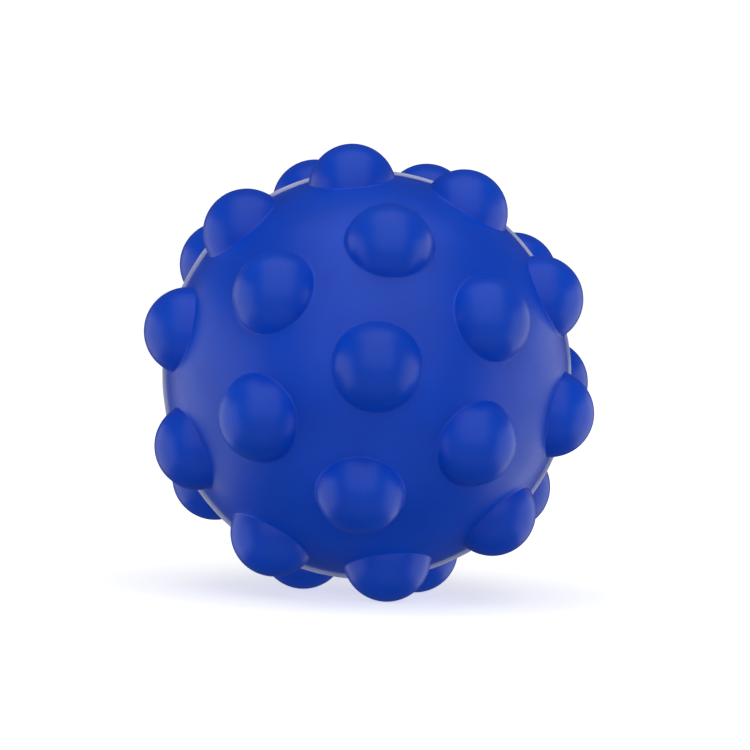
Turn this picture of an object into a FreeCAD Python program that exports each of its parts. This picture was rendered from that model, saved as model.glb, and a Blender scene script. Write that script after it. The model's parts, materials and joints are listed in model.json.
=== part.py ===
"""Bubble stress ball: two moulded silicone half shells glued rim to rim, each with seventeen pop-in domes.

Row frame in millimetres. The origin is the ball's centre and +Z is up, with the ball standing on three dome
tips: one rim dome of the front half and two of the back half. The pole axis of the halves runs front (-Y) to
back (+Y) and leans up at the front by the small angle that those three tips give it. Every dome slides along
its own axis, which passes through the origin.
"""

import math
import os

import FreeCAD
import Part

Vector = FreeCAD.Vector

# Body
BALL_RADIUS = 28.0  # outer radius of the two half shells
SHELL_WALL = 2.0

# Domes
DOME_BASE_RADIUS = 6.0  # where a dome's outline meets the body's surface
DOME_RISE = 4.5  # a dome's tip above the body's surface
HINGE_RISE = 0.55  # the ring above a dome's base plane about which it turns inside out
DOME_WALL = 1.1
SKIRT_DEPTH = 0.8  # how far a dome's skirt reaches down into its hole
HINGE_GAP = 0.15  # radial room between a dome and its hole, and between two domes that are both popped in

# Dome pattern of one half: a pole dome, an inner ring and a rim ring
SEAM_LAND = 0.5  # bare surface between a rim dome's outline and the rounded edge at the seam
INNER_RING_SHARE = 0.5  # the inner ring's polar angle as a share of the rim ring's
INNER_RING_COUNT = 6
RIM_RING_COUNT = 10
BACK_HALF_TURN = 10.75  # degrees that the back half is turned about the pole axis against the front half
PATTERN_STEPS = 3  # rim pitches from the foot dome to the dome that starts both rings
POPPED_IN = {"back_rim_dome_05"}  # domes that rest popped in

# Seam
GLUE_FILM = 0.3  # between the two rims
RIM_EDGE_ROUND = 0.4  # each half's outer edge at its rim
BEAD_PROUD = 0.65  # crest of the squeezed-out adhesive above the body's surface
BEAD_WIDTH = 0.8

# Vent
VENT_DIAMETER = 0.35
VENT_POLAR = 53.5  # degrees from the front pole
VENT_AZIMUTH = 88.0  # degrees about the pole axis from straight down, towards +X

OUTPUT = "parts"

TIP_RADIUS = BALL_RADIUS + DOME_RISE
DOME_BASE_HEIGHT = math.sqrt(BALL_RADIUS**2 - DOME_BASE_RADIUS**2)  # of its base plane, along a dome's axis
HINGE_HEIGHT = DOME_BASE_HEIGHT + HINGE_RISE
POP_TRAVEL = 2 * (TIP_RADIUS - HINGE_HEIGHT)  # a popped-in tip is as far below the hinge as it stood above
RIM_EDGE_TOP = GLUE_FILM / 2 + RIM_EDGE_ROUND
RIM_PITCH = 360.0 / RIM_RING_COUNT
RIM_DOME_LATITUDE = math.degrees(
    math.asin(DOME_BASE_RADIUS / BALL_RADIUS) + math.asin((RIM_EDGE_TOP + SEAM_LAND) / BALL_RADIUS)
)
RIM_POLAR = 90.0 - RIM_DOME_LATITUDE
INNER_POLAR = RIM_POLAR * INNER_RING_SHARE

# The two back feet stand half a pitch each side of straight down, and the front foot is off centre.
BACK_FOOT_AZIMUTH = RIM_PITCH / 2
FRONT_FOOT_AZIMUTH = BACK_FOOT_AZIMUTH - BACK_HALF_TURN
PHASE = {
    "front": FRONT_FOOT_AZIMUTH + PATTERN_STEPS * RIM_PITCH,
    "back": BACK_FOOT_AZIMUTH + PATTERN_STEPS * RIM_PITCH,
}


def rest_lean():
    """Radians that the pole axis leans up at the front when all three feet touch the floor."""
    front = math.cos(math.radians(FRONT_FOOT_AZIMUTH))
    back = math.cos(math.radians(BACK_FOOT_AZIMUTH))
    return math.atan2(front - back, 2 * math.tan(math.radians(RIM_DOME_LATITUDE)))


LEAN = rest_lean()
POLE = Vector(0, -math.cos(LEAN), math.sin(LEAN))
DOWN = Vector(0, -math.sin(LEAN), -math.cos(LEAN))  # square to the pole axis, towards the floor
SIDE = Vector(1, 0, 0)


def direction(half, polar, azimuth):
    """Unit vector from degrees: polar from this half's pole, azimuth from straight down towards +X."""
    p, a = math.radians(polar), math.radians(azimuth)
    pole = POLE if half == "front" else POLE * -1
    return pole * math.cos(p) + (DOWN * math.cos(a) + SIDE * math.sin(a)) * math.sin(p)


def dome_directions(half):
    """The seventeen domes of one half as {name: axis}."""
    found = {f"{half}_pole_dome": direction(half, 0, 0)}
    for ring, polar, count in (
        ("inner", INNER_POLAR, INNER_RING_COUNT),
        ("rim", RIM_POLAR, RIM_RING_COUNT),
    ):
        for k in range(count):
            azimuth = PHASE[half] + k * 360.0 / count
            found[f"{half}_{ring}_dome_{k + 1:02d}"] = direction(half, polar, azimuth)
    return found


def closest_pair_angle(directions):
    """The smallest angle between two dome axes, in radians."""
    return min(
        a.getAngle(b) for i, a in enumerate(directions) for b in directions[i + 1 :]
    )


def ring_face(edges):
    """A face in the XZ plane from edges in order."""
    return Part.Face(Part.Wire(edges))


def revolved(face):
    """The face turned once about Z."""
    return face.revolve(Vector(0, 0, 0), Vector(0, 0, 1), 360)


def line(start, end):
    """A straight edge between two (radius, height) points."""
    return Part.LineSegment(Vector(start[0], 0, start[1]), Vector(end[0], 0, end[1])).toShape()


def arc(start, middle, end):
    """An arc edge through three (radius, height) points."""
    return Part.Arc(*[Vector(r, 0, z) for r, z in (start, middle, end)]).toShape()


def on_circle(radius, centre_height, angle):
    """The (radius, height) point of a circle about (0, centre_height), angle in radians from the axis."""
    return radius * math.sin(angle), centre_height + radius * math.cos(angle)


def half_shell_blank():
    """One half without its holes: pole up along +Z, its rim half a glue film above the seam plane."""
    rim = GLUE_FILM / 2
    inner_radius = BALL_RADIUS - SHELL_WALL
    edge_outside = math.sqrt(BALL_RADIUS**2 - RIM_EDGE_TOP**2)
    edge_centre = edge_outside - RIM_EDGE_ROUND
    outer_end = math.acos(RIM_EDGE_TOP / BALL_RADIUS)
    inner_end = math.acos(rim / inner_radius)
    outer = [on_circle(BALL_RADIUS, 0, outer_end * share) for share in (0, 0.5, 1)]
    inner = [on_circle(inner_radius, 0, inner_end * share) for share in (1, 0.5, 0)]
    diagonal = RIM_EDGE_ROUND * math.sqrt(0.5)
    edge = [
        outer[2],
        (edge_centre + diagonal, RIM_EDGE_TOP - diagonal),
        (edge_centre, rim),
    ]
    return revolved(
        ring_face(
            [
                arc(*outer),
                arc(*edge),
                line(edge[2], inner[0]),
                arc(*inner),
                line(inner[2], outer[0]),
            ]
        )
    )


def dome_outline():
    """A dome's outer sphere as (radius, centre height) along its axis."""
    cap_height = TIP_RADIUS - DOME_BASE_HEIGHT
    radius = (DOME_BASE_RADIUS**2 + cap_height**2) / (2 * cap_height)
    return radius, TIP_RADIUS - radius


def dome_blank(clash_angle):
    """One dome on +Z, its tip at TIP_RADIUS, trimmed by the cone that keeps popped-in neighbours apart."""
    outer_radius, centre = dome_outline()
    inner_radius = outer_radius - DOME_WALL
    skirt_bottom = DOME_BASE_HEIGHT - SKIRT_DEPTH
    outer_level = max(DOME_BASE_HEIGHT, centre)
    outer_end = math.acos((outer_level - centre) / outer_radius)
    inner_end = math.acos((outer_level - centre) / inner_radius)
    outer = [on_circle(outer_radius, centre, outer_end * share) for share in (0, 0.5, 1)]
    inner = [on_circle(inner_radius, centre, inner_end * share) for share in (1, 0.5, 0)]
    skirt_outer = (outer[2][0], skirt_bottom)
    skirt_inner = (inner[0][0], skirt_bottom)
    blank = revolved(
        ring_face(
            [
                arc(*outer),
                line(outer[2], skirt_outer),
                line(skirt_outer, skirt_inner),
                line(skirt_inner, inner[0]),
                arc(*inner),
                line(inner[2], outer[0]),
            ]
        )
    )
    half = clash_angle / 2
    setback = HINGE_GAP / 2 / math.sin(half)
    cone_height = TIP_RADIUS + POP_TRAVEL
    cone = Part.makeCone(
        0, cone_height * math.tan(half), cone_height, Vector(0, 0, POP_TRAVEL + setback)
    )
    return blank.common(cone).Solids[0]


def collar_blank():
    """The foot of a dome on +Z, which stays with the shell: a slice of the dome up to the hinge ring."""
    outer_radius, centre = dome_outline()
    foot = DOME_BASE_HEIGHT - SHELL_WALL / 2
    ball = Part.makeSphere(outer_radius, Vector(0, 0, centre))
    band = Part.makeCylinder(outer_radius, HINGE_HEIGHT - foot, Vector(0, 0, foot))
    return ball.common(band)


def aimed(shape, axis):
    """A copy of the shape with its +Z turned onto the axis."""
    turned = shape.copy()
    turned.Placement = FreeCAD.Placement(
        Vector(0, 0, 0), FreeCAD.Rotation(Vector(0, 0, 1), axis)
    )
    return turned


def half_shell(half, axes, hole_radius):
    """A half shell with a collar and a round hole at each dome, and the front half's vent."""
    bare = aimed(half_shell_blank(), POLE if half == "front" else POLE * -1)
    collar = collar_blank()
    blank = bare.fuse([aimed(collar, axis) for axis in axes])
    depth = SHELL_WALL + 2 * DOME_RISE
    drill = Part.makeCylinder(hole_radius, depth, Vector(0, 0, TIP_RADIUS - depth))
    drills = [aimed(drill, axis) for axis in axes]
    if half == "front":
        needle = Part.makeCylinder(
            VENT_DIAMETER / 2, depth, Vector(0, 0, TIP_RADIUS - depth)
        )
        drills.append(aimed(needle, direction("front", VENT_POLAR, VENT_AZIMUTH)))
    return blank.cut(drills).Solids[0]


def seam_adhesive():
    """The glue: a film between the two rims and the bead squeezed out between their rounded edges."""
    film, bead = GLUE_FILM / 2, BEAD_WIDTH / 2
    inner = BALL_RADIUS - SHELL_WALL
    neck = BALL_RADIUS - RIM_EDGE_ROUND
    crest = BALL_RADIUS + BEAD_PROUD
    inner_rim = math.sqrt(inner**2 - film**2)
    ring = revolved(
        ring_face(
            [
                line((inner_rim, -film), (neck, -film)),
                line((neck, -film), (BALL_RADIUS, -bead)),
                arc((BALL_RADIUS, -bead), (crest, 0), (BALL_RADIUS, bead)),
                line((BALL_RADIUS, bead), (neck, film)),
                line((neck, film), (inner_rim, film)),
                line((inner_rim, film), (inner_rim, -film)),
            ]
        )
    )
    upper = half_shell_blank()
    lower = upper.copy()
    lower.rotate(Vector(0, 0, 0), Vector(1, 0, 0), 180)
    return aimed(ring.cut([upper, lower]), POLE)


def export(shape, node):
    """Writes one node's STEP file."""
    solid = shape.Solids[0]
    assert solid.isValid() and len(shape.Solids) == 1, node
    shape.exportStep(os.path.join(OUTPUT, node + ".step"))
    print(f"{node:22s} {solid.Volume:9.1f} mm3")


def main():
    """Builds every node and prints the numbers that the record repeats."""
    os.makedirs(OUTPUT, exist_ok=True)
    axes = {half: dome_directions(half) for half in ("front", "back")}
    every_axis = [axis for found in axes.values() for axis in found.values()]
    dome = dome_blank(closest_pair_angle(every_axis))
    widest = max(abs(dome.BoundBox.XMin), dome.BoundBox.XMax)
    hole_radius = widest + HINGE_GAP
    for half, found in axes.items():
        export(half_shell(half, list(found.values()), hole_radius), f"{half}_shell")
        for name, axis in found.items():
            piece = aimed(dome, axis)
            if name in POPPED_IN:
                piece.translate(axis * -POP_TRAVEL)
            export(piece, name)
            print("  axis", *(round(c, 6) for c in axis))
    export(seam_adhesive(), "seam_adhesive")
    outer_radius, centre = dome_outline()
    print(f"lean {math.degrees(LEAN):.4f} deg, hole radius {hole_radius:.4f}, travel {POP_TRAVEL:.6f}")
    print(f"foot radius {outer_radius:.4f}, foot centre {centre:.4f}, rim latitude {RIM_DOME_LATITUDE:.4f}")


main()
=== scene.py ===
"""Bubble stress ball: two moulded silicone half shells, their pop-through domes and the glue seam.

Every piece is built in metres in the row frame, at the place that the frame's joints give.
"""

import json
import logging
import math
from collections.abc import Callable
from dataclasses import dataclass, field
from enum import Enum

import bmesh
import bpy
from mathutils import Matrix, Vector, noise


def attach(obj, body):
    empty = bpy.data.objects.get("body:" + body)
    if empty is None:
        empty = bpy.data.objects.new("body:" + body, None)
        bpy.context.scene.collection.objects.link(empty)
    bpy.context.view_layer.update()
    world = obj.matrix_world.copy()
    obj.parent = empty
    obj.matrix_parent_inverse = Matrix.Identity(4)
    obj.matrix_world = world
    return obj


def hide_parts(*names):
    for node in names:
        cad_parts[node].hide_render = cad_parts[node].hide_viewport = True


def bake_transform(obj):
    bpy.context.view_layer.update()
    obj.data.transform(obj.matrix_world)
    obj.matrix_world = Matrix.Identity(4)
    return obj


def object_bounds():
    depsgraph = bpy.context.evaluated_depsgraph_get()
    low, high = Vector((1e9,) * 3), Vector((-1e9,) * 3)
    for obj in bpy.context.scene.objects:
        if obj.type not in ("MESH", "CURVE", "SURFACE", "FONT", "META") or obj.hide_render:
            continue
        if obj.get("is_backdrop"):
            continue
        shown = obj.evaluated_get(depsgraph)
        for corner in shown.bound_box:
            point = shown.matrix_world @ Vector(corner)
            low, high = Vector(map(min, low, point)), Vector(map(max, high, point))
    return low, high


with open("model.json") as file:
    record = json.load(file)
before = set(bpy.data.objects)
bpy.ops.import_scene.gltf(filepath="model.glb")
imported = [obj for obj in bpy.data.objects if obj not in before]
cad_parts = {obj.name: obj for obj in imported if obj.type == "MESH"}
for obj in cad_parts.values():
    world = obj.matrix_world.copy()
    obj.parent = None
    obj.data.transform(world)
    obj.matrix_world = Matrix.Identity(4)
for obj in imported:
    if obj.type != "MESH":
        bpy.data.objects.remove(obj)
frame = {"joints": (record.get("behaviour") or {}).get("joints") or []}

LOG = logging.getLogger("stress_ball")
MM = 0.001
MERGE_DISTANCE = 0.0005 * MM
CUT_TOLERANCE = 0.001 * MM
BODY = "ball_body"
UP = Vector((0, 0, 1))


class Half(Enum):
    """The two mouldings."""

    FRONT = "front"
    BACK = "back"


class Slot(Enum):
    """The record's material slots."""

    SILICONE = "blue_silicone"
    GLUE = "clear_adhesive"


@dataclass(frozen=True)
class Seat:
    """One dome's place: its CAD node and body, its outward axis and how its slide rests."""

    name: str
    axis: Vector
    travel: float
    rests_popped_in: bool

    @property
    def half(self) -> Half:
        """The moulding that the dome belongs to."""
        return Half(self.name.split("_")[0])


def seats_from_frame() -> list[Seat]:
    """Reads every dome's axis and travel from the frame's slides.

    Returns:
        One seat per dome, in the order of the joints.
    """
    seats = []
    for joint in frame["joints"]:
        low, high = joint["range_m"]
        outward = -Vector(joint["axis"]).normalized()
        seats.append(Seat(joint["child"], outward, high - low, low < 0))
    return seats


# ---------------------------------------------------------------- mesh helpers


def arc_points(
    centre: tuple[float, float], radius: float, start: float, end: float, steps: int
) -> list[tuple[float, float]]:
    """Points along an arc in the (radius, height) plane.

    Args:
        centre: The arc's centre.
        radius: The arc's radius.
        start: Angle of the first point in radians, from the height axis towards the radius axis.
        end: Angle of the last point.
        steps: Number of spans.

    Returns:
        steps + 1 points.
    """
    angles = [start + (end - start) * k / steps for k in range(steps + 1)]
    return [(centre[0] + radius * math.sin(a), centre[1] + radius * math.cos(a)) for a in angles]


def spun(profile: list[tuple[float, float]], segments: int, closed: bool) -> bmesh.types.BMesh:
    """Spins a profile once about +Z.

    Args:
        profile: (radius, height) points.
        segments: Steps round the axis.
        closed: Whether the last point joins the first.

    Returns:
        The spun mesh, with its poles and its seam merged.
    """
    bm = bmesh.new()
    verts = [bm.verts.new((r, 0, z)) for r, z in profile]
    pairs = list(zip(verts, verts[1:]))
    if closed:
        pairs.append((verts[-1], verts[0]))
    edges = [bm.edges.new(pair) for pair in pairs]
    bmesh.ops.spin(
        bm, geom=verts + edges, axis=UP, cent=(0, 0, 0), angle=2 * math.pi, steps=segments, use_merge=True
    )
    bmesh.ops.remove_doubles(bm, verts=bm.verts[:], dist=MERGE_DISTANCE)
    bmesh.ops.recalc_face_normals(bm, faces=bm.faces[:])
    return bm


def face_away(bm: bmesh.types.BMesh, centre: Vector) -> None:
    """Turns an open sheet's faces away from a point.

    Args:
        bm: The sheet.
        centre: The point that the faces look away from.
    """
    outward = sum((f.calc_center_median() - centre).dot(f.normal) * f.calc_area() for f in bm.faces)
    if outward < 0:
        bmesh.ops.reverse_faces(bm, faces=bm.faces[:])


def aim(bm: bmesh.types.BMesh, axis: Vector) -> None:
    """Turns a mesh from +Z onto an axis through the origin.

    Args:
        bm: The mesh.
        axis: The direction that +Z turns to.
    """
    turn = UP.rotation_difference(axis).to_matrix()
    bmesh.ops.rotate(bm, verts=bm.verts[:], cent=(0, 0, 0), matrix=turn)


def piece_from(
    bm: bmesh.types.BMesh, name: str, material: bpy.types.Material
) -> bpy.types.Object:
    """Makes a smooth-shaded piece from a mesh, with its open edges sharp.

    Args:
        bm: The mesh, which is freed.
        name: The piece's name.
        material: Its finish.

    Returns:
        The linked object at the origin.
    """
    for edge in bm.edges:
        edge.smooth = not edge.is_boundary
    for face in bm.faces:
        face.smooth = True
    mesh = bpy.data.meshes.new(name)
    bm.to_mesh(mesh)
    bm.free()
    mesh.materials.append(material)
    obj = bpy.data.objects.new(name, mesh)
    bpy.context.scene.collection.objects.link(obj)
    return obj


def thicken(obj: bpy.types.Object, wall: float) -> bpy.types.SolidifyModifier:
    """Gives a sheet its wall on the inner side.

    Args:
        obj: The sheet.
        wall: The wall's thickness.

    Returns:
        The modifier.
    """
    solidify = obj.modifiers.new("wall", "SOLIDIFY")
    solidify.thickness = wall
    solidify.offset = -1
    solidify.use_rim = True
    return solidify


def vary_wall(
    obj: bpy.types.Object,
    solidify: bpy.types.SolidifyModifier,
    share: Callable[[Vector], float],
    thinnest: float,
) -> None:
    """Makes a sheet's wall thinner in some places.

    Args:
        obj: The sheet.
        solidify: The modifier that gives it its wall.
        share: Gives a point's place between the thinnest wall, at 0, and the full wall, at 1.
        thinnest: The thinnest wall as a share of the full one.
    """
    group = obj.vertex_groups.new(name="wall_share")
    for v in obj.data.vertices:
        group.add([v.index], max(0.0, min(1.0, share(v.co))), "REPLACE")
    solidify.vertex_group = group.name
    solidify.thickness_vertex_group = thinnest


# ---------------------------------------------------------------- domes


@dataclass(frozen=True)
class DomeShape:
    """A dome's outline over the body, as the CAD has it, with the small fillet at its foot."""

    body_radius: float = 28.0 * MM
    base_radius: float = 6.0 * MM
    rise: float = 4.5 * MM
    hinge_rise: float = 0.55 * MM
    fillet: float = 0.25 * MM
    wall: float = 1.1 * MM
    land: float = 0.07 * MM
    tuck_width: float = 0.14 * MM
    tuck_depth: float = 0.03 * MM
    segments: int = 96

    @property
    def tip(self) -> float:
        """Height of the tip along the dome's axis."""
        return self.body_radius + self.rise

    @property
    def base_height(self) -> float:
        """Height of the plane where the dome's outline meets the body's surface."""
        return math.sqrt(self.body_radius**2 - self.base_radius**2)

    @property
    def radius(self) -> float:
        """Radius of the dome's sphere."""
        height = self.tip - self.base_height
        return (self.base_radius**2 + height**2) / (2 * height)

    @property
    def centre(self) -> float:
        """Height of the dome's sphere's centre."""
        return self.tip - self.radius

    @property
    def hinge(self) -> float:
        """Height of the ring about which the dome turns inside out."""
        return self.base_height + self.hinge_rise

    @property
    def fillet_centre(self) -> tuple[float, float]:
        """Centre of the foot's fillet, which touches both spheres."""
        far, near, c = self.body_radius + self.fillet, self.radius + self.fillet, self.centre
        height = (far**2 - near**2 + c**2) / (2 * c)
        return math.sqrt(far**2 - height**2), height

    @property
    def foot_radius(self) -> float:
        """Radius of the circle where the fillet runs out on the body."""
        return self.fillet_centre[0] * self.body_radius / (self.body_radius + self.fillet)

    @property
    def hole_radius(self) -> float:
        """Radius of the round opening that the half shell keeps for this dome."""
        return self.foot_radius + self.land / 2

    def on_body(self, radius: float, depth: float = 0.0) -> tuple[float, float]:
        """The point on the body's sphere at a distance from the axis.

        Args:
            radius: The distance from the axis.
            depth: How far below the sphere's surface the point lies.

        Returns:
            The point's (radius, height).
        """
        return radius, math.sqrt(self.body_radius**2 - radius**2) - depth

    def radius_at(self, height: float) -> float:
        """The dome's radius at a height, zero at its tip."""
        return math.sqrt(max(0.0, self.radius**2 - (height - self.centre) ** 2))

    def foot(self, steps: int = 7) -> list[tuple[float, float]]:
        """The foot's profile from the dome down the fillet to the tuck under the shell's skin.

        Args:
            steps: Number of spans in the fillet.

        Returns:
            (radius, height) points, from the dome outwards.
        """
        cx, cz = self.fillet_centre
        start = math.atan2(-cx, self.centre - cz)
        end = math.atan2(-cx, -cz)
        if end > start:
            end -= 2 * math.pi
        curve = arc_points((cx, cz), self.fillet, start, end, steps)
        outer = self.foot_radius + self.land
        return curve + [self.on_body(outer), self.on_body(outer + self.tuck_width, self.tuck_depth)]

    def popped_out(self, steps: int = 26) -> list[tuple[float, float]]:
        """The whole profile from the tip to the tuck.

        Args:
            steps: Number of spans from the tip to the fillet.

        Returns:
            (radius, height) points, tip first.
        """
        cx, cz = self.fillet_centre
        meeting = math.atan2(cx, cz - self.centre)
        cap = arc_points((0, self.centre), self.radius, 0, meeting, steps)
        return cap[:-1] + self.foot()


@dataclass(frozen=True)
class Inversion:
    """How a dome turns inside out: each ring slides by a smooth share of the travel, none at the hinge."""

    shape: DomeShape
    travel: float
    tip_share: float = 0.88
    rim_drop: float = 0.12 * MM
    rim_inset: float = 0.10 * MM
    inset_depth: float = 2.0 * MM
    ring_crowding: float = 1.6

    @property
    def depth(self) -> float:
        """Height of the tip above the hinge."""
        return self.travel / 2

    @property
    def span(self) -> float:
        """Length along the axis over which the share grows from none to all."""
        return self.depth / self.tip_share

    def share(self, height: float) -> float:
        """The share of the travel that a ring takes, from its resting distance to the hinge."""
        t = max(0.0, min(1.0, height / self.span))
        return t * t * (3 - 2 * t)

    def popped_in(self, steps: int = 30) -> list[tuple[float, float]]:
        """The bowl's profile from its bottom up to its rim, which is tucked just inside the collar.

        Args:
            steps: Number of rings from the bottom to the hinge.

        Returns:
            (radius, height) points, bottom first.
        """
        reach = self.travel * self.share(self.depth) - self.depth
        points = []
        for k in range(steps + 1):
            below = self.rim_drop + (self.depth - self.rim_drop) * (1 - (k / steps) ** self.ring_crowding)
            out = self.travel * self.share(below) - below
            height = self.shape.hinge + self.depth * max(0.0, out) / reach
            inset = self.rim_inset * max(0.0, 1 - below / self.inset_depth)
            points.append((max(0.0, self.shape.radius_at(height) - inset), self.shape.hinge - below))
        points[0] = (0.0, points[0][1])
        return points


@dataclass
class Domes:
    """All the domes: one skin each, resting out or turned in."""

    seats: list[Seat]
    material: bpy.types.Material
    shape: DomeShape = field(default_factory=DomeShape)
    collar_wall: float = 0.2 * MM
    collar_depth: float = 0.4 * MM
    crown_steps: int = 10
    wall_steps: int = 4
    taper_depth: float = 2.5 * MM
    thinnest_share: float = 0.04

    def build(self) -> None:
        """Builds every dome."""
        for seat in self.seats:
            if seat.rests_popped_in:
                self.popped_in_dome(seat)
            else:
                self.popped_out_dome(seat)

    def skin(self, seat: Seat, profile: list[tuple[float, float]]) -> bpy.types.Object:
        """One dome's skin from a profile.

        Args:
            seat: The dome's place.
            profile: (radius, height) points.

        Returns:
            The piece.
        """
        bm = spun(profile, self.shape.segments, closed=False)
        face_away(bm, Vector((0, 0, -self.shape.body_radius)))
        aim(bm, seat.axis)
        obj = piece_from(bm, f"{seat.name}_skin", self.material)
        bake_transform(obj)
        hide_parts(seat.name)
        solidify = thicken(obj, self.shape.wall)
        vary_wall(
            obj,
            solidify,
            lambda p: abs(p.dot(seat.axis) - self.shape.hinge) / self.taper_depth,
            self.thinnest_share,
        )
        LOG.info("%s: %d vertices", obj.name, len(obj.data.vertices))
        return obj

    def popped_out_dome(self, seat: Seat) -> None:
        """A dome that rests out and slides in.

        Args:
            seat: The dome's place.
        """
        self.skin(seat, self.shape.popped_out())

    def popped_in_dome(self, seat: Seat) -> None:
        """A dome that rests turned in, with the collar that its fold leaves standing on the body.

        Args:
            seat: The dome's place.
        """
        self.skin(seat, Inversion(self.shape, seat.travel).popped_in())
        bm = spun(self.collar_profile(), self.shape.segments, closed=True)
        aim(bm, seat.axis)
        obj = piece_from(bm, f"{seat.name}_collar", self.material)
        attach(obj, BODY)
        LOG.info("%s: %d vertices", obj.name, len(obj.data.vertices))

    def collar_profile(self) -> list[tuple[float, float]]:
        """The closed section of the collar: fillet, outer wall, rounded top and inner wall.

        Returns:
            (radius, height) points.
        """
        s = self.shape
        top_round = self.collar_wall / 2
        shoulder = s.hinge - top_round
        outer = s.radius_at(shoulder)
        cx, cz = s.fillet_centre
        meeting = math.atan2(cx, cz - s.centre)
        wall_start = math.acos((shoulder - s.centre) / s.radius)
        crown = (outer - top_round, shoulder)
        rounding = arc_points(crown, top_round, -math.pi / 2, math.pi / 2, self.crown_steps)
        wall = arc_points((0, s.centre), s.radius, wall_start, meeting, self.wall_steps)[1:-1]
        low = shoulder - self.collar_depth
        inner = [(outer - self.collar_wall, low - k * self.collar_depth / 2) for k in (1, 0)]
        return inner + rounding + wall + s.foot() + [(outer, inner[0][1])]


# ---------------------------------------------------------------- half shells


@dataclass
class HalfShell:
    """One moulded half: a hemisphere's skin with a rounded rim edge and a round opening at each dome."""

    half: Half
    seats: list[Seat]
    pole: Vector
    material: bpy.types.Material
    shape: DomeShape = field(default_factory=DomeShape)
    wall: float = 2.0 * MM
    glue_film: float = 0.3 * MM
    rim_round: float = 0.4 * MM
    subdivisions: int = 6
    shortest_edge: float = 0.25 * MM
    rim_taper: float = 4.0 * MM
    thinnest_share: float = 0.2
    evened_rings: int = 4
    smoothing_passes: int = 8
    loop_search: float = 1.2

    def build(self) -> bpy.types.Object:
        """Builds the half shell's piece.

        Returns:
            The piece, which replaces its CAD node.
        """
        bm = bmesh.new()
        bmesh.ops.create_icosphere(bm, subdivisions=self.subdivisions, radius=self.shape.body_radius)
        rim_top = self.glue_film / 2 + self.rim_round
        self.cut(bm, self.pole * rim_top, -self.pole)
        for seat in self.seats:
            level = self.shape.on_body(self.shape.hole_radius)[1]
            self.cut(bm, seat.axis * level, seat.axis)
        self.even_out(bm)
        self.round_rim(bm, rim_top)
        bmesh.ops.recalc_face_normals(bm, faces=bm.faces[:])
        face_away(bm, Vector((0, 0, 0)))
        obj = piece_from(bm, f"{self.half.value}_shell_skin", self.material)
        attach(obj, BODY)
        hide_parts(f"{self.half.value}_shell")
        solidify = thicken(obj, self.wall)
        vary_wall(
            obj, solidify, lambda p: (p.dot(self.pole) - rim_top) / self.rim_taper, self.thinnest_share
        )
        LOG.info("%s: %d vertices", obj.name, len(obj.data.vertices))
        return obj

    def cut(self, bm: bmesh.types.BMesh, point: Vector, normal: Vector) -> None:
        """Cuts away everything on a plane's outer side.

        Args:
            bm: The skin.
            point: A point on the plane.
            normal: The plane's normal.
        """
        geom = bm.verts[:] + bm.edges[:] + bm.faces[:]
        bmesh.ops.bisect_plane(
            bm, geom=geom, dist=CUT_TOLERANCE, plane_co=point, plane_no=normal, clear_outer=True
        )

    def even_out(self, bm: bmesh.types.BMesh) -> None:
        """Merges the slivers that the cuts leave and evens the mesh beside them, back on the sphere.

        Args:
            bm: The skin.
        """
        edge_verts = [v for v in bm.verts if v.is_boundary]
        bmesh.ops.remove_doubles(bm, verts=edge_verts, dist=self.shortest_edge)
        bmesh.ops.triangulate(bm, faces=bm.faces[:])
        near = {v for v in bm.verts if v.is_boundary}
        ring = set(near)
        for _ in range(self.evened_rings):
            ring = {e.other_vert(v) for v in ring for e in v.link_edges} - near
            near |= ring
        loose = [v for v in near if not v.is_boundary]
        for _ in range(self.smoothing_passes):
            bmesh.ops.smooth_vert(
                bm, verts=loose, factor=0.5, use_axis_x=True, use_axis_y=True, use_axis_z=True
            )
        for v in bm.verts:
            v.co = v.co.normalized() * self.shape.body_radius

    def round_rim(self, bm: bmesh.types.BMesh, rim_top: float, steps: int = 6) -> None:
        """Extrudes the rim's loop round the moulding's outer edge.

        Args:
            bm: The skin.
            rim_top: Height above the seam plane where the rounding starts.
            steps: Spans of the rounding.
        """
        side = self.pole
        centre = math.sqrt(self.shape.body_radius**2 - rim_top**2) - self.rim_round
        limit = rim_top * self.loop_search
        loop = [e for e in bm.edges if e.is_boundary and all(v.co.dot(side) < limit for v in e.verts)]
        for k in range(1, steps + 1):
            made = bmesh.ops.extrude_edge_only(bm, edges=loop)["geom"]
            angle = math.pi / 2 * k / steps
            out = centre + self.rim_round * math.cos(angle)
            level = rim_top - self.rim_round * math.sin(angle)
            for v in (g for g in made if isinstance(g, bmesh.types.BMVert)):
                radial = v.co - side * v.co.dot(side)
                v.co = radial.normalized() * out + side * level
            loop = [g for g in made if isinstance(g, bmesh.types.BMEdge)]


# ---------------------------------------------------------------- seam


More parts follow.
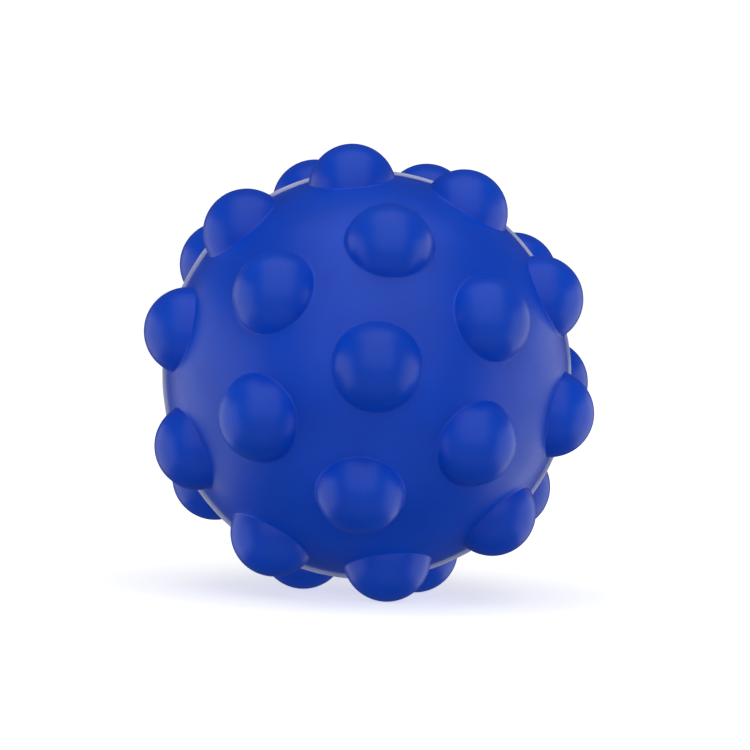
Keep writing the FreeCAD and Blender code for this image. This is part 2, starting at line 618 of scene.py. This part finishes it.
@dataclass
class SeamBead:
    """The adhesive between the halves: a thin film and the bead that was squeezed out, a little uneven."""

    pole: Vector
    material: bpy.types.Material
    body_radius: float = 28.0 * MM
    wall: float = 2.0 * MM
    film: float = 0.3 * MM
    rim_round: float = 0.4 * MM
    proud: float = 0.60 * MM
    half_width: float = 0.38 * MM
    segments: int = 480
    head_steps: int = 14
    head_fullness: float = 0.8
    unevenness: float = 0.07 * MM
    waves_per_metre: float = 160.0
    finer_waves: float = 3.1
    finer_share: float = 0.5
    width_change: float = 0.18

    def section(self) -> list[tuple[float, float]]:
        """The closed section: film, neck between the rounded edges, and the bead's round head.

        Returns:
            (radius, height) points.
        """
        neck = self.body_radius - self.rim_round
        inner = self.body_radius - self.wall
        head = []
        for k in range(self.head_steps + 1):
            a = math.pi * k / self.head_steps
            out = self.proud * math.sin(a) ** self.head_fullness
            head.append((self.body_radius + out, self.half_width * math.cos(a)))
        film = self.film / 2
        return [(inner, film), (neck, film)] + head + [(neck, -film), (inner, -film)]

    def build(self) -> bpy.types.Object:
        """Builds the seam's piece.

        Returns:
            The piece, which replaces its CAD node.
        """
        bm = spun(self.section(), self.segments, closed=True)
        for v in bm.verts:
            flat = Vector((v.co.x, v.co.y, 0))
            out = flat.length
            if out > self.body_radius:
                stir = noise.noise(flat * self.waves_per_metre)
                finer = flat * self.waves_per_metre * self.finer_waves + Vector((5, 3, 1))
                stir += self.finer_share * noise.noise(finer)
                v.co += flat.normalized() * (stir * self.unevenness * (out - self.body_radius) / self.proud)
                v.co.z *= 1 + self.width_change * stir
        bmesh.ops.recalc_face_normals(bm, faces=bm.faces[:])
        aim(bm, self.pole)
        obj = piece_from(bm, "seam_bead", self.material)
        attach(obj, BODY)
        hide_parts("seam_adhesive")
        LOG.info("%s: %d vertices", obj.name, len(obj.data.vertices))
        return obj


# ---------------------------------------------------------------- finishes


class Nodes:
    """A small helper that adds and links a material's nodes."""

    def __init__(self, name: str) -> None:
        """Starts an empty material with a Principled shader.

        Args:
            name: The material's name.
        """
        self.material = bpy.data.materials.new(name)
        self.material.use_nodes = True
        self.tree = self.material.node_tree
        self.tree.nodes.clear()
        self.output = self.add("ShaderNodeOutputMaterial")
        self.shader = self.add("ShaderNodeBsdfPrincipled")
        self.link(self.shader.outputs["BSDF"], self.output.inputs["Surface"])
        self.where = self.add("ShaderNodeTexCoord").outputs["Object"]

    def add(self, kind: str, **settings: object) -> bpy.types.Node:
        """Adds a node and sets its properties.

        Args:
            kind: The node's type.
            settings: Property names and values.

        Returns:
            The node.
        """
        node = self.tree.nodes.new(kind)
        for key, value in settings.items():
            setattr(node, key, value)
        return node

    def link(self, source: bpy.types.NodeSocket, target: bpy.types.NodeSocket) -> None:
        """Links two sockets."""
        self.tree.links.new(source, target)

    def noise(self, size: float, detail: float = 3.0, roughness: float = 0.5) -> bpy.types.NodeSocket:
        """A noise whose features are about `size` metres across.

        Args:
            size: The feature size in metres.
            detail: Octaves.
            roughness: Strength of the finer octaves.

        Returns:
            The noise's factor.
        """
        node = self.add("ShaderNodeTexNoise")
        node.inputs["Scale"].default_value = 1 / size
        node.inputs["Detail"].default_value = detail
        node.inputs["Roughness"].default_value = roughness
        self.link(self.where, node.inputs["Vector"])
        return node.outputs["Fac"]

    def ramp(self, source: bpy.types.NodeSocket, low: tuple, high: tuple) -> bpy.types.NodeSocket:
        """Maps a value from one range to another.

        Args:
            source: The value.
            low: (input, output) at the lower end.
            high: (input, output) at the upper end.

        Returns:
            The mapped value, clamped.
        """
        node = self.add("ShaderNodeMapRange")
        node.inputs["From Min"].default_value, node.inputs["To Min"].default_value = low
        node.inputs["From Max"].default_value, node.inputs["To Max"].default_value = high
        self.link(source, node.inputs["Value"])
        return node.outputs["Result"]

    def blend(self, share: bpy.types.NodeSocket, first: tuple, second: tuple) -> bpy.types.NodeSocket:
        """Mixes two colours, or a colour socket and a colour.

        Args:
            share: The share of the second colour.
            first: A colour, or a socket that gives one.
            second: A colour.

        Returns:
            The mixed colour.
        """
        node = self.add("ShaderNodeMix", data_type="RGBA")
        self.link(share, node.inputs["Factor"])
        if isinstance(first, tuple):
            node.inputs["A"].default_value = (*first, 1)
        else:
            self.link(first, node.inputs["A"])
        node.inputs["B"].default_value = (*second, 1)
        return node.outputs["Result"]

    def bump(
        self,
        height: bpy.types.NodeSocket,
        distance: float,
        strength: float,
        under: bpy.types.NodeSocket | None = None,
    ) -> bpy.types.NodeSocket:
        """A bump from a height.

        Args:
            height: The height map.
            distance: Height of the relief in metres.
            strength: The bump's strength.
            under: A normal to build on.

        Returns:
            The normal.
        """
        node = self.add("ShaderNodeBump")
        node.inputs["Distance"].default_value = distance
        node.inputs["Strength"].default_value = strength
        self.link(height, node.inputs["Height"])
        if under is not None:
            self.link(under, node.inputs["Normal"])
        return node.outputs["Normal"]


@dataclass(frozen=True)
class SatinSilicone:
    """Pigmented silicone rubber straight from a satin mould."""

    name: str = "satin_blue_silicone"
    colour: tuple = (0.002, 0.080, 0.76)
    deep: tuple = (0.001, 0.068, 0.68)
    dust: tuple = (0.10, 0.18, 0.74)
    smoothest: float = 0.32
    roughest: float = 0.40
    specular: float = 0.5
    mottle_size: float = 9 * MM
    cloud_size: float = 2.2 * MM
    grain_size: float = 0.16 * MM
    grain_height: float = 0.004 * MM
    ripple_size: float = 4.5 * MM
    ripple_height: float = 0.02 * MM
    ior: float = 1.42

    def make(self) -> bpy.types.Material:
        """Builds the material.

        Returns:
            The finish for the half shells and the domes.
        """
        n = Nodes(self.name)
        mottle = n.ramp(n.noise(self.mottle_size, 4.0), (0.35, 0.0), (0.65, 1.0))
        colour = n.blend(mottle, self.colour, self.deep)
        film = n.ramp(n.noise(self.cloud_size, 6.0, 0.6), (0.62, 0.0), (0.80, 0.06))
        colour = n.blend(film, colour, self.dust)
        n.link(colour, n.shader.inputs["Base Color"])
        rough = n.ramp(n.noise(self.cloud_size * 2, 5.0), (0.3, self.smoothest), (0.7, self.roughest))
        n.link(rough, n.shader.inputs["Roughness"])
        ripple = n.bump(n.noise(self.ripple_size, 2.0), self.ripple_height, 0.5)
        grain = n.bump(n.noise(self.grain_size, 3.0, 0.6), self.grain_height, 0.6, ripple)
        n.link(grain, n.shader.inputs["Normal"])
        n.shader.inputs["Specular IOR Level"].default_value = self.specular
        n.shader.inputs["IOR"].default_value = self.ior
        return n.material


@dataclass(frozen=True)
class MilkyGlue:
    """Clear silicone adhesive gone milky, with the blue of the halves showing in it."""

    name: str = "milky_adhesive"
    pale: tuple = (0.66, 0.69, 0.88)
    tinted: tuple = (0.40, 0.46, 0.80)
    smoothest: float = 0.32
    roughest: float = 0.44
    cloud_size: float = 9 * MM
    smear_size: float = 1.2 * MM
    grain_size: float = 0.8 * MM
    grain_height: float = 0.02 * MM
    milkiness: float = 0.25
    scatter: tuple = (0.4 * MM, 0.5 * MM, 0.9 * MM)
    ior: float = 1.41

    def make(self) -> bpy.types.Material:
        """Builds the material.

        Returns:
            The finish for the seam bead.
        """
        n = Nodes(self.name)
        cloud = n.ramp(n.noise(self.cloud_size, 4.0), (0.38, 0.0), (0.66, 1.0))
        n.link(n.blend(cloud, self.pale, self.tinted), n.shader.inputs["Base Color"])
        rough = n.ramp(n.noise(self.smear_size, 4.0), (0.3, self.smoothest), (0.7, self.roughest))
        n.link(rough, n.shader.inputs["Roughness"])
        grain = n.bump(n.noise(self.grain_size, 3.0), self.grain_height, 0.5)
        n.link(grain, n.shader.inputs["Normal"])
        n.shader.inputs["Subsurface Weight"].default_value = self.milkiness
        n.shader.inputs["Subsurface Radius"].default_value = self.scatter
        n.shader.inputs["Subsurface Scale"].default_value = 1.0
        n.shader.inputs["IOR"].default_value = self.ior
        return n.material


# ---------------------------------------------------------------- studio


@dataclass(frozen=True)
class Softbox:
    """A rectangular light at a bearing round the ball, facing its centre."""

    name: str
    azimuth: float
    elevation: float
    distance: float
    width: float
    height: float
    radiance: float
    reflects: bool = True

    def place(self) -> None:
        """Adds the light to the scene, with its power set so that its face has the stated radiance."""
        light = bpy.data.lights.new(self.name, "AREA")
        light.shape = "RECTANGLE"
        light.size, light.size_y = self.width, self.height
        light.energy = self.radiance * math.pi * self.width * self.height
        obj = bpy.data.objects.new(self.name, light)
        bpy.context.scene.collection.objects.link(obj)
        back = direction(self.azimuth, self.elevation)
        obj.visible_glossy = self.reflects
        obj.location = back * self.distance
        obj.rotation_euler = (-back).to_track_quat("-Z", "Y").to_euler()


def direction(azimuth: float, elevation: float) -> Vector:
    """The unit vector towards a bearing.

    Args:
        azimuth: Degrees round from the front, 90 at the right side.
        elevation: Degrees above level.

    Returns:
        The vector.
    """
    a, e = math.radians(azimuth), math.radians(elevation)
    return Vector((math.sin(a) * math.cos(e), -math.cos(a) * math.cos(e), math.sin(e)))


@dataclass
class Studio:
    """A pale floor and backdrop, and soft boxes all round.

    The set's radius stays well inside 100 object radii, past which a named view's camera sees nothing.
    """

    floor_level: float
    set_radius: float = 2.5
    boxes: tuple = (
        Softbox("top_softbox", 0, 86, 0.60, 0.70, 0.50, 0.65),
        Softbox("top_fill", 0, 70, 0.80, 1.00, 0.80, 0.55, reflects=False),
        Softbox("left_softbox", -104, -10, 0.60, 0.98, 0.66, 0.95),
        Softbox("right_softbox", 104, -10, 0.60, 0.98, 0.66, 1.05),
        Softbox("front_fill", 0, 31, 0.90, 1.50, 1.15, 0.60),
        Softbox("broad_fill", 0, 25, 0.95, 1.60, 1.20, 0.14, reflects=False),
        Softbox("under_fill", 0, -42, 0.80, 1.30, 0.90, 0.54, reflects=False),
    )
    world_grey: float = 0.07
    glow_start: float = 0.03
    shadow_reach: float = 0.16
    near_glow: float = 0.62

    def build(self) -> None:
        """Builds the set and sets the view."""
        self.floor()
        self.backdrop()
        for box in self.boxes:
            box.place()
        world = bpy.data.worlds.new("studio_world")
        world.use_nodes = True
        background = world.node_tree.nodes["Background"]
        background.inputs["Color"].default_value = (self.world_grey,) * 3 + (1,)
        bpy.context.scene.world = world
        bpy.context.scene.view_settings.view_transform = "Standard"

    def floor(self) -> None:
        """The pale floor under the dome tips, glowing white further out so that it meets the backdrop."""
        n = Nodes("pale_floor")
        n.shader.inputs["Base Color"].default_value = (0.82, 0.82, 0.83, 1)
        n.shader.inputs["Roughness"].default_value = 0.9
        n.shader.inputs["Emission Color"].default_value = (1, 1, 1, 1)
        reach = n.add("ShaderNodeVectorMath", operation="LENGTH")
        n.link(n.where, reach.inputs[0])
        glow = n.ramp(reach.outputs["Value"], (self.glow_start, self.near_glow), (self.shadow_reach, 1.0))
        n.link(glow, n.shader.inputs["Emission Strength"])
        bm = bmesh.new()
        bmesh.ops.create_grid(bm, x_segments=1, y_segments=1, size=self.set_radius)
        bmesh.ops.translate(bm, verts=bm.verts[:], vec=(0, 0, self.floor_level))
        self.stage_object("studio_floor", bm, n.material)

    def backdrop(self) -> None:
        """A white shell round the set, which only the camera sees."""
        n = Nodes("white_backdrop")
        n.shader.inputs["Base Color"].default_value = (1, 1, 1, 1)
        n.shader.inputs["Emission Color"].default_value = (1, 1, 1, 1)
        n.shader.inputs["Emission Strength"].default_value = 1.0
        bm = bmesh.new()
        bmesh.ops.create_icosphere(bm, subdivisions=4, radius=self.set_radius)
        bmesh.ops.reverse_faces(bm, faces=bm.faces[:])
        self.stage_object("studio_backdrop", bm, n.material)

    def stage_object(self, name: str, bm: bmesh.types.BMesh, material: bpy.types.Material) -> None:
        """Links a mesh as part of the set, hidden from reflections, bounced light and shadows.

        Args:
            name: The object's name.
            bm: The mesh, which is freed.
            material: Its material.
        """
        mesh = bpy.data.meshes.new(name)
        bm.to_mesh(mesh)
        bm.free()
        mesh.materials.append(material)
        obj = bpy.data.objects.new(name, mesh)
        bpy.context.scene.collection.objects.link(obj)
        obj.visible_glossy = False
        obj.visible_diffuse = False
        obj.visible_shadow = False
        obj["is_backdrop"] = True


@dataclass(frozen=True)
class Camera:
    """The view: nearly along the front pole, a little from the left and above, slightly tilted."""

    azimuth: float = -2.70
    elevation: float = 2.40
    roll: float = 2.13
    distance: float = 472.6 * MM
    lens: float = 162.46
    sensor: float = 36.0
    right_of_centre: float = 1.075 * MM
    below_centre: float = 0.14 * MM
    nearest: float = 0.01
    farthest: float = 100.0

    def place(self) -> None:
        """Adds the camera and makes it the scene's."""
        back = direction(self.azimuth, self.elevation)
        a, r = math.radians(self.azimuth), math.radians(self.roll)
        level = Vector((math.cos(a), math.sin(a), 0))
        upright = back.cross(level)
        right = level * math.cos(r) + upright * math.sin(r)
        up = upright * math.cos(r) - level * math.sin(r)
        data = bpy.data.cameras.new("camera")
        data.lens, data.sensor_width = self.lens, self.sensor
        data.clip_start, data.clip_end = self.nearest, self.farthest
        obj = bpy.data.objects.new("camera", data)
        bpy.context.scene.collection.objects.link(obj)
        spot = back * self.distance + right * self.right_of_centre - up * self.below_centre
        turn = Matrix((right, up, back)).transposed().to_4x4()
        obj.matrix_world = Matrix.Translation(spot) @ turn
        bpy.context.scene.camera = obj


# ---------------------------------------------------------------- main


def corners(box: tuple[Vector, Vector]) -> list[list[float]]:
    """A box's two corners as plain lists."""
    return [list(corner) for corner in box]


def main() -> None:
    """Builds the ball, the set and the camera."""
    logging.basicConfig(level=logging.INFO, format="%(name)s: %(message)s")
    cad_box = corners(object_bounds())
    seats = seats_from_frame()
    front_pole = next(s.axis for s in seats if s.name == "front_pole_dome")
    silicone = SatinSilicone().make()
    for half, pole in ((Half.FRONT, front_pole), (Half.BACK, -front_pole)):
        HalfShell(half, [s for s in seats if s.half is half], pole, silicone).build()
    Domes(seats, silicone).build()
    SeamBead(front_pole, MilkyGlue().make()).build()
    Studio(cad_box[0][2]).build()
    Camera().place()
    bpy.context.view_layer.update()


if __name__ == "__main__":
    main()
